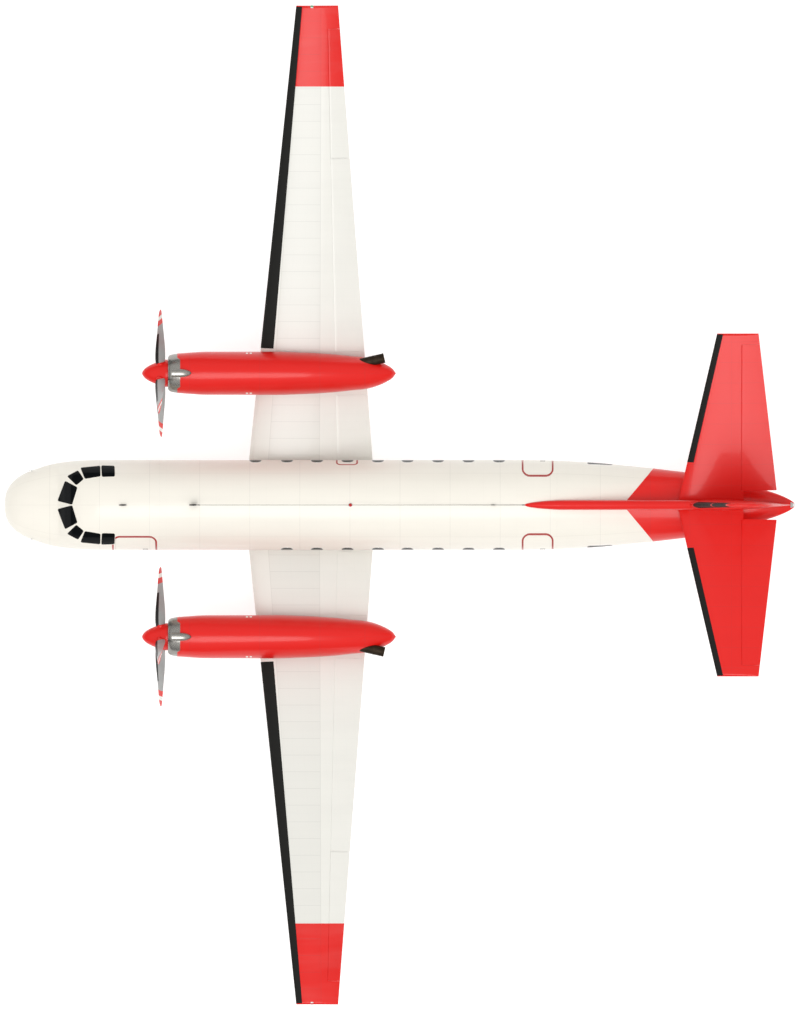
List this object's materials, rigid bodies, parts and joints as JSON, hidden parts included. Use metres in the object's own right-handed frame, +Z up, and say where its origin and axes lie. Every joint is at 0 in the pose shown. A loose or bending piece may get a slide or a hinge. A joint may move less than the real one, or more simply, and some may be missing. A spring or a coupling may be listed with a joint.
{
  "type": "twin turboprop transport aircraft with rear loading ramp",
  "caption": "Low-wing turboprop transport aircraft on its gear, with turning propellers and wheels, steering, control surfaces, and a rear loading ramp and door that open.",
  "frame": {"origin": "on the ground, under the middle of the aircraft's length and on its plane of symmetry", "axes": "+Z up; the nose points to -X, the right wing to +Y"},
  "size_m": [23.73, 29.9478, 9.17],
  "materials": {
    "white_paint": "gloss cream white paint on sheet metal",
    "red_paint": "gloss red paint on sheet metal",
    "floor_metal": "matt grey floor plates",
    "polished_metal": "polished bare metal",
    "burnt_metal": "heat-stained dark steel",
    "blade_metal": "satin grey metal with painted tips",
    "gear_metal": "satin grey paint on steel",
    "engine_metal": "plain steel casing",
    "tyre": "black rubber",
    "glazing": "dark tinted panes"
  },
  "bodies": {
    "airframe": {"nose_section": "white_paint", "cabin_section": "white_paint", "rear_section": "white_paint", "tail_cone": "red_paint", "cabin_floor": "floor_metal", "flight_deck_glazing": "glazing", "front_door": "white_paint", "rear_door_right": "white_paint", "rear_door_left": "white_paint", "wing_right": "white_paint", "wing_left": "white_paint", "inboard_flap_right": "white_paint", "inboard_flap_left": "white_paint", "outboard_flap_right": "white_paint", "outboard_flap_left": "white_paint", "fin": "red_paint", "tailplane_right": "red_paint", "tailplane_left": "red_paint", "nacelle_right": "red_paint", "nacelle_left": "red_paint", "engine_right": "engine_metal", "engine_left": "engine_metal", "intake_ring_right": "polished_metal", "intake_ring_left": "polished_metal", "exhaust_right": "burnt_metal", "exhaust_left": "burnt_metal", "main_leg_right": "gear_metal", "main_leg_left": "gear_metal", "main_axle_right": "gear_metal", "main_axle_left": "gear_metal", "main_door_right_outer": "red_paint", "main_door_right_inner": "red_paint", "main_door_left_outer": "red_paint", "main_door_left_inner": "red_paint", "nose_leg": "gear_metal", "nose_door_right": "white_paint", "nose_door_left": "white_paint"},
    "propeller_right": {"propeller_blades_right": "blade_metal", "spinner_right": "red_paint"},
    "main_wheels_right": {"main_hubs_right": "gear_metal", "main_tyre_right_starboard": "tyre", "main_tyre_right_port": "tyre"},
    "aileron_right": {"aileron_right": "white_paint"},
    "elevator_right": {"elevator_right": "red_paint"},
    "propeller_left": {"propeller_blades_left": "blade_metal", "spinner_left": "red_paint"},
    "main_wheels_left": {"main_hubs_left": "gear_metal", "main_tyre_left_starboard": "tyre", "main_tyre_left_port": "tyre"},
    "aileron_left": {"aileron_left": "white_paint"},
    "elevator_left": {"elevator_left": "red_paint"},
    "nose_steering": {"nose_fork": "gear_metal"},
    "nose_wheels": {"nose_hubs": "gear_metal", "nose_tyre_starboard": "tyre", "nose_tyre_port": "tyre"},
    "rudder": {"rudder": "red_paint"},
    "ramp": {"loading_ramp": "white_paint"},
    "upper_door": {"upper_rear_door": "white_paint"}
  },
  "joints": [
    {"name": "propeller_spin_right", "type": "hinge", "parent": "airframe", "child": "propeller_right", "pos_m": [-7.185, 3.95, 3], "axis": [1, 0, 0], "continuous": true},
    {"name": "propeller_spin_left", "type": "hinge", "parent": "airframe", "child": "propeller_left", "pos_m": [-7.185, -3.95, 3], "axis": [1, 0, 0], "continuous": true},
    {"name": "main_wheels_spin_right", "type": "hinge", "parent": "airframe", "child": "main_wheels_right", "pos_m": [-2.4, 3.95, 0.43], "axis": [0, 1, 0], "continuous": true},
    {"name": "main_wheels_spin_left", "type": "hinge", "parent": "airframe", "child": "main_wheels_left", "pos_m": [-2.4, -3.95, 0.43], "axis": [0, 1, 0], "continuous": true},
    {"name": "nose_steer", "type": "hinge", "parent": "airframe", "child": "nose_steering", "pos_m": [-9.6, 0, 0.325], "axis": [0, 0, 1], "range_deg": [-50, 50]},
    {"name": "nose_wheels_spin", "type": "hinge", "parent": "nose_steering", "child": "nose_wheels", "pos_m": [-9.6, 0, 0.325], "axis": [0, 1, 0], "continuous": true},
    {"name": "aileron_right_hinge", "type": "hinge", "parent": "airframe", "child": "aileron_right", "pos_m": [-2.05725, 10.41146, 2.96127], "axis": [-0.0217, 0.9922, 0.1229], "range_deg": [-15, 15]},
    {"name": "aileron_left_hinge", "type": "hinge", "parent": "airframe", "child": "aileron_left", "pos_m": [-2.05725, -10.41146, 2.96127], "axis": [0.0217, 0.9922, -0.1229], "range_deg": [-15, 15]},
    {"name": "elevator_right_hinge", "type": "hinge", "parent": "airframe", "child": "elevator_right", "pos_m": [10.25, 0.44316, 4.27814], "axis": [0, 0.9848, 0.1736], "range_deg": [-25, 15]},
    {"name": "elevator_left_hinge", "type": "hinge", "parent": "airframe", "child": "elevator_left", "pos_m": [10.25, -0.44316, 4.27814], "axis": [0, 0.9848, -0.1736], "range_deg": [-25, 15]},
    {"name": "rudder_hinge", "type": "hinge", "parent": "airframe", "child": "rudder", "pos_m": [10.56, 0, 5], "axis": [0, 0, 1], "range_deg": [-22, 22]},
    {"name": "ramp_hinge", "type": "hinge", "parent": "airframe", "child": "ramp", "pos_m": [4.8103, 0, 1.50467], "axis": [0, 1, 0], "range_deg": [0, 32]},
    {"name": "upper_door_hinge", "type": "hinge", "parent": "airframe", "child": "upper_door", "pos_m": [8.42, 0, 2.87875], "axis": [0, 1, 0], "range_deg": [0, 30]}
  ],
  "couplings": [
    {"joint": "aileron_left_hinge", "follows": "aileron_right_hinge", "ratio": -1},
    {"joint": "elevator_left_hinge", "follows": "elevator_right_hinge", "ratio": 1}
  ]
}
